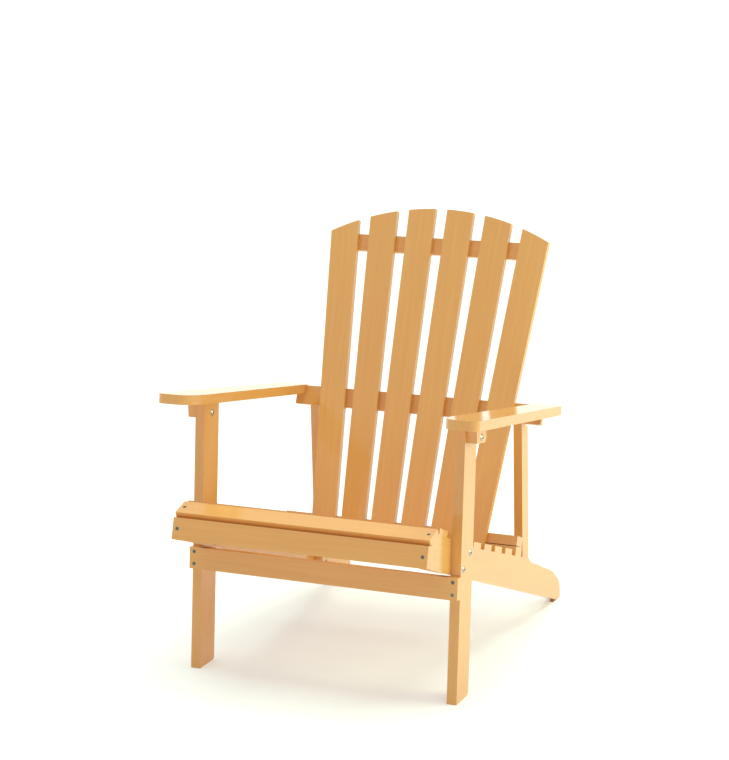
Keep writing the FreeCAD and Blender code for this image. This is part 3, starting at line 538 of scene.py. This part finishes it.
@dataclass
class GardenChair:
    """The whole chair: seat, back, frame, arms and fixings."""

    seat_tilts: Sequence[float] = (-15.1, 24.5, 24.5, 24.5, 20.3, 20.3, 20.3, 20.3)
    recline: float = 23.05
    arm_fall: float = 10.43
    rail_fall: float = 21.98
    leg_lean: float = 6.8
    apron_lean: float = 17.0
    fan: Sequence[float] = (-3.6, -2.1, -0.7, 0.7, 2.1, 3.6)

    def seat(self) -> Timbers:
        """List the seat's boards.

        Returns:
            The seat's set.
        """
        boards = [
            Board(f"seat_slat_{index}", Grain.ACROSS, tilt, edge=0.0020)
            for index, tilt in enumerate(self.seat_tilts, start=1)
        ]
        boards.append(Board("rear_seat_board", Grain.ACROSS, self.seat_tilts[-1], tone=0.3))
        return Timbers("seat", boards)

    def back(self) -> Timbers:
        """List the back's slats and the rails that hold them.

        Returns:
            The back's set.
        """
        slats = [
            Board(f"back_slat_{index}", Grain.UPRIGHT, self.recline, fan, edge=0.0022)
            for index, fan in enumerate(self.fan, start=1)
        ]
        rails = [
            Board(name, Grain.ACROSS, self.recline, tone=0.6)
            for name in ("lower_back_rail", "mid_back_rail", "upper_back_rail")
        ]
        return Timbers("back", slats + rails)

    def frame(self) -> Timbers:
        """List the rails, legs, posts, apron and stretcher.

        Returns:
            The frame's set.
        """
        boards = [
            Board("apron", Grain.ACROSS, self.apron_lean, edge=0.0018),
            Board("front_stretcher", Grain.ACROSS, self.leg_lean),
        ]
        for side in ("left", "right"):
            boards.append(Board(f"side_rail_{side}", Grain.ALONG, self.rail_fall, edge=0.0020))
            boards.append(Board(f"front_leg_{side}", Grain.UPRIGHT, self.leg_lean, edge=0.0020))
            boards.append(Board(f"rear_post_{side}", Grain.UPRIGHT, 0.0))
        return Timbers("frame", boards)

    def arms(self) -> Timbers:
        """List the arms and the brackets under them.

        Returns:
            The arms' set.
        """
        boards = []
        for side in ("left", "right"):
            boards.append(Board(f"arm_{side}", Grain.ALONG, self.arm_fall, tone=-0.3, edge=0.0024))
            boards.append(Board(f"arm_bracket_{side}", Grain.ALONG, self.arm_fall))
        return Timbers("arms", boards)

    def fixings(self) -> list[Fixings]:
        """List the fixings by finish.

        Returns:
            The fixings, a set for each finish.
        """
        bright = PlatedSteel((0.50, 0.47, 0.44), (0.26, 0.23, 0.20), 0.22)
        dark = PlatedSteel((0.20, 0.21, 0.17), (0.085, 0.085, 0.065), 0.34)
        return [
            Fixings("bright_bolts", ["leg_bolts", "bracket_bolts"], bright, 0.0004),
            Fixings("bright_nuts", ["leg_nuts", "bracket_sleeve_nuts"], bright, 0.0004),
            Fixings(
                "dark_screws",
                [
                    "stretcher_screws",
                    "apron_screws",
                    "seat_screws",
                    "back_screws",
                    "lower_back_screws",
                    "lower_rail_screws",
                    "post_screws",
                    "post_top_screws",
                    "arm_bracket_screws",
                    "arm_rear_screws",
                ],
                dark,
                0.0002,
            ),
        ]

    def dress(self, nodes: dict[str, bpy.types.Object]) -> None:
        """Finish every piece of the chair.

        Args:
            nodes: The frame's nodes by name.
        """
        count = 1
        for timbers in (self.seat(), self.back(), self.frame(), self.arms()):
            count = timbers.dress(nodes, count)
        for fixings in self.fixings():
            fixings.dress(nodes)
        # The rear foot pads are dark sheets that carry a painted contact shadow under the rear
        # feet.
        shadow_pad_finish = FootShadowPad().material("foot_contact_shadow")
        for side in ("left", "right"):
            pad = nodes[f"rear_foot_pad_{side}"]
            clear_slots(pad, shadow_pad_finish)
            ease_edges(pad, 0.0006, 2)
            LOG.info("foot_pads: rear_foot_pad_%s finished", side)


@dataclass
class Studio:
    """A pale floor, soft lights and the camera."""

    floor_colour: Colour = (0.64, 0.64, 0.64)
    floor_shade: Colour = (0.60, 0.60, 0.60)
    floor_glow: float = 0.36
    world_colour: Colour = (1.0, 1.0, 1.0)
    world_strength: float = 0.44
    key_power: float = 15.0
    key_place: Sequence[float] = (1.75, 0.38, 0.95)
    key_size: float = 1.0
    top: tuple[float, Sequence[float], float] = (3.0, (0.05, 0.12, 1.0), 60.0)
    camera_place: Sequence[float] = (2.00142, -4.45282, 1.77248)
    azimuth: float = 24.456
    elevation: float = 13.512
    roll: float = -1.265
    lens: float = 113.16

    def floor(self) -> None:
        """Lay a wide pale floor under the chair."""
        mesh = bpy.data.meshes.new("floor")
        reach = FLOOR_REACH
        mesh.from_pydata(
            [
                (-reach, -reach, 0.0),
                (reach, -reach, 0.0),
                (reach, reach, 0.0),
                (-reach, reach, 0.0),
            ],
            [],
            [(0, 1, 2, 3)],
        )
        floor = bpy.data.objects.new("floor", mesh)
        bpy.context.scene.collection.objects.link(floor)
        n = Nodes("floor_paper")
        place = n.add("ShaderNodeTexCoord").outputs["Object"]
        tooth = n.ramp(n.noise(place, 60.0, 3.0), 0.3, 0.7)
        colour = n.blend(n.math("MULTIPLY", tooth, 0.15), self.floor_colour, self.floor_shade)
        n.join(colour, n.shader.inputs["Base Color"])
        n.shader.inputs["Emission Color"].default_value = (1.0, 1.0, 1.0, 1.0)
        n.shader.inputs["Emission Strength"].default_value = self.floor_glow
        n.shader.inputs["Roughness"].default_value = 0.9
        n.shader.inputs["Specular IOR Level"].default_value = 0.1
        floor.data.materials.append(n.material)
        LOG.info("floor: laid")

    def lamp(self, name: str, setting: tuple[float, Sequence[float], float], tint: Colour) -> None:
        """Hang one wide soft lamp.

        Args:
            name: The lamp's name.
            setting: Its strength, the way to it from the chair, and its spread in degrees.
            tint: Its colour.
        """
        strength, way, spread = setting
        lamp = bpy.data.lights.new(name, "SUN")
        lamp.energy = strength
        lamp.angle = math.radians(spread)
        lamp.color = tint
        holder = bpy.data.objects.new(name, lamp)
        holder.rotation_euler = (-Vector(way)).to_track_quat("-Z", "Y").to_euler()
        bpy.context.scene.collection.objects.link(holder)

    def panel(self) -> None:
        """Stand one soft panel of light close on the right."""
        panel = bpy.data.lights.new("soft_key", "AREA")
        panel.shape = "SQUARE"
        panel.size = self.key_size
        panel.energy = self.key_power
        panel.color = KEY_TINT
        holder = bpy.data.objects.new("soft_key", panel)
        place = Vector(self.key_place)
        holder.location = place
        holder.rotation_euler = (Vector(LAMP_AIM) - place).to_track_quat("-Z", "Y").to_euler()
        bpy.context.scene.collection.objects.link(holder)

    def room(self) -> None:
        """Surround the chair with pale light, brighter where it is seen than where it falls."""
        world = bpy.data.worlds.new("pale_room")
        world.use_nodes = True
        tree = world.node_tree
        tree.nodes.clear()
        output = tree.nodes.new("ShaderNodeOutputWorld")
        paths = tree.nodes.new("ShaderNodeLightPath")
        strength = tree.nodes.new("ShaderNodeMapRange")
        strength.inputs["To Min"].default_value = 1.0
        strength.inputs["To Max"].default_value = self.world_strength
        glow = tree.nodes.new("ShaderNodeBackground")
        glow.inputs["Color"].default_value = rgba(self.world_colour)
        tree.links.new(paths.outputs["Is Diffuse Ray"], strength.inputs["Value"])
        tree.links.new(strength.outputs["Result"], glow.inputs["Strength"])
        tree.links.new(glow.outputs["Background"], output.inputs["Surface"])
        bpy.context.scene.world = world

    def lights(self) -> None:
        """Set the pale room and its two soft lamps."""
        self.room()
        self.panel()
        self.lamp("soft_top", self.top, TOP_TINT)
        LOG.info("lights: hung")

    def camera(self) -> None:
        """Set the camera in front of the chair, to its right."""
        data = bpy.data.cameras.new("view")
        data.sensor_fit = "HORIZONTAL"
        data.sensor_width = SENSOR_WIDTH
        data.lens = self.lens
        data.clip_end = CLIP_END
        data.dof.use_dof = False
        turn, rise, lean = map(math.radians, (self.azimuth, self.elevation, self.roll))
        level = math.cos(rise)
        back = Vector((math.sin(turn) * level, -math.cos(turn) * level, math.sin(rise)))
        right = (-back).cross(Vector((0.0, 0.0, 1.0))).normalized()
        up = right.cross(-back)
        side = right * math.cos(lean) + up * math.sin(lean)
        top = up * math.cos(lean) - right * math.sin(lean)
        holder = bpy.data.objects.new("view", data)
        axes = Matrix((side, top, back)).transposed()
        holder.matrix_world = Matrix.Translation(Vector(self.camera_place)) @ axes.to_4x4()
        bpy.context.scene.collection.objects.link(holder)
        bpy.context.scene.camera = holder
        LOG.info("camera: set")

    def build(self) -> None:
        """Build floor, lights and camera."""
        self.floor()
        self.lights()
        self.camera()
        view = bpy.context.scene.view_settings
        view.view_transform = "Standard"
        view.look = "None"
        view.exposure = 0.0


def main() -> None:
    """Load the frame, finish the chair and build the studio."""
    logging.basicConfig(level=logging.INFO, format="%(name)s %(message)s")
    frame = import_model()
    GardenChair().dress(frame["nodes"])
    Studio().build()


if __name__ == "__main__":
    main()
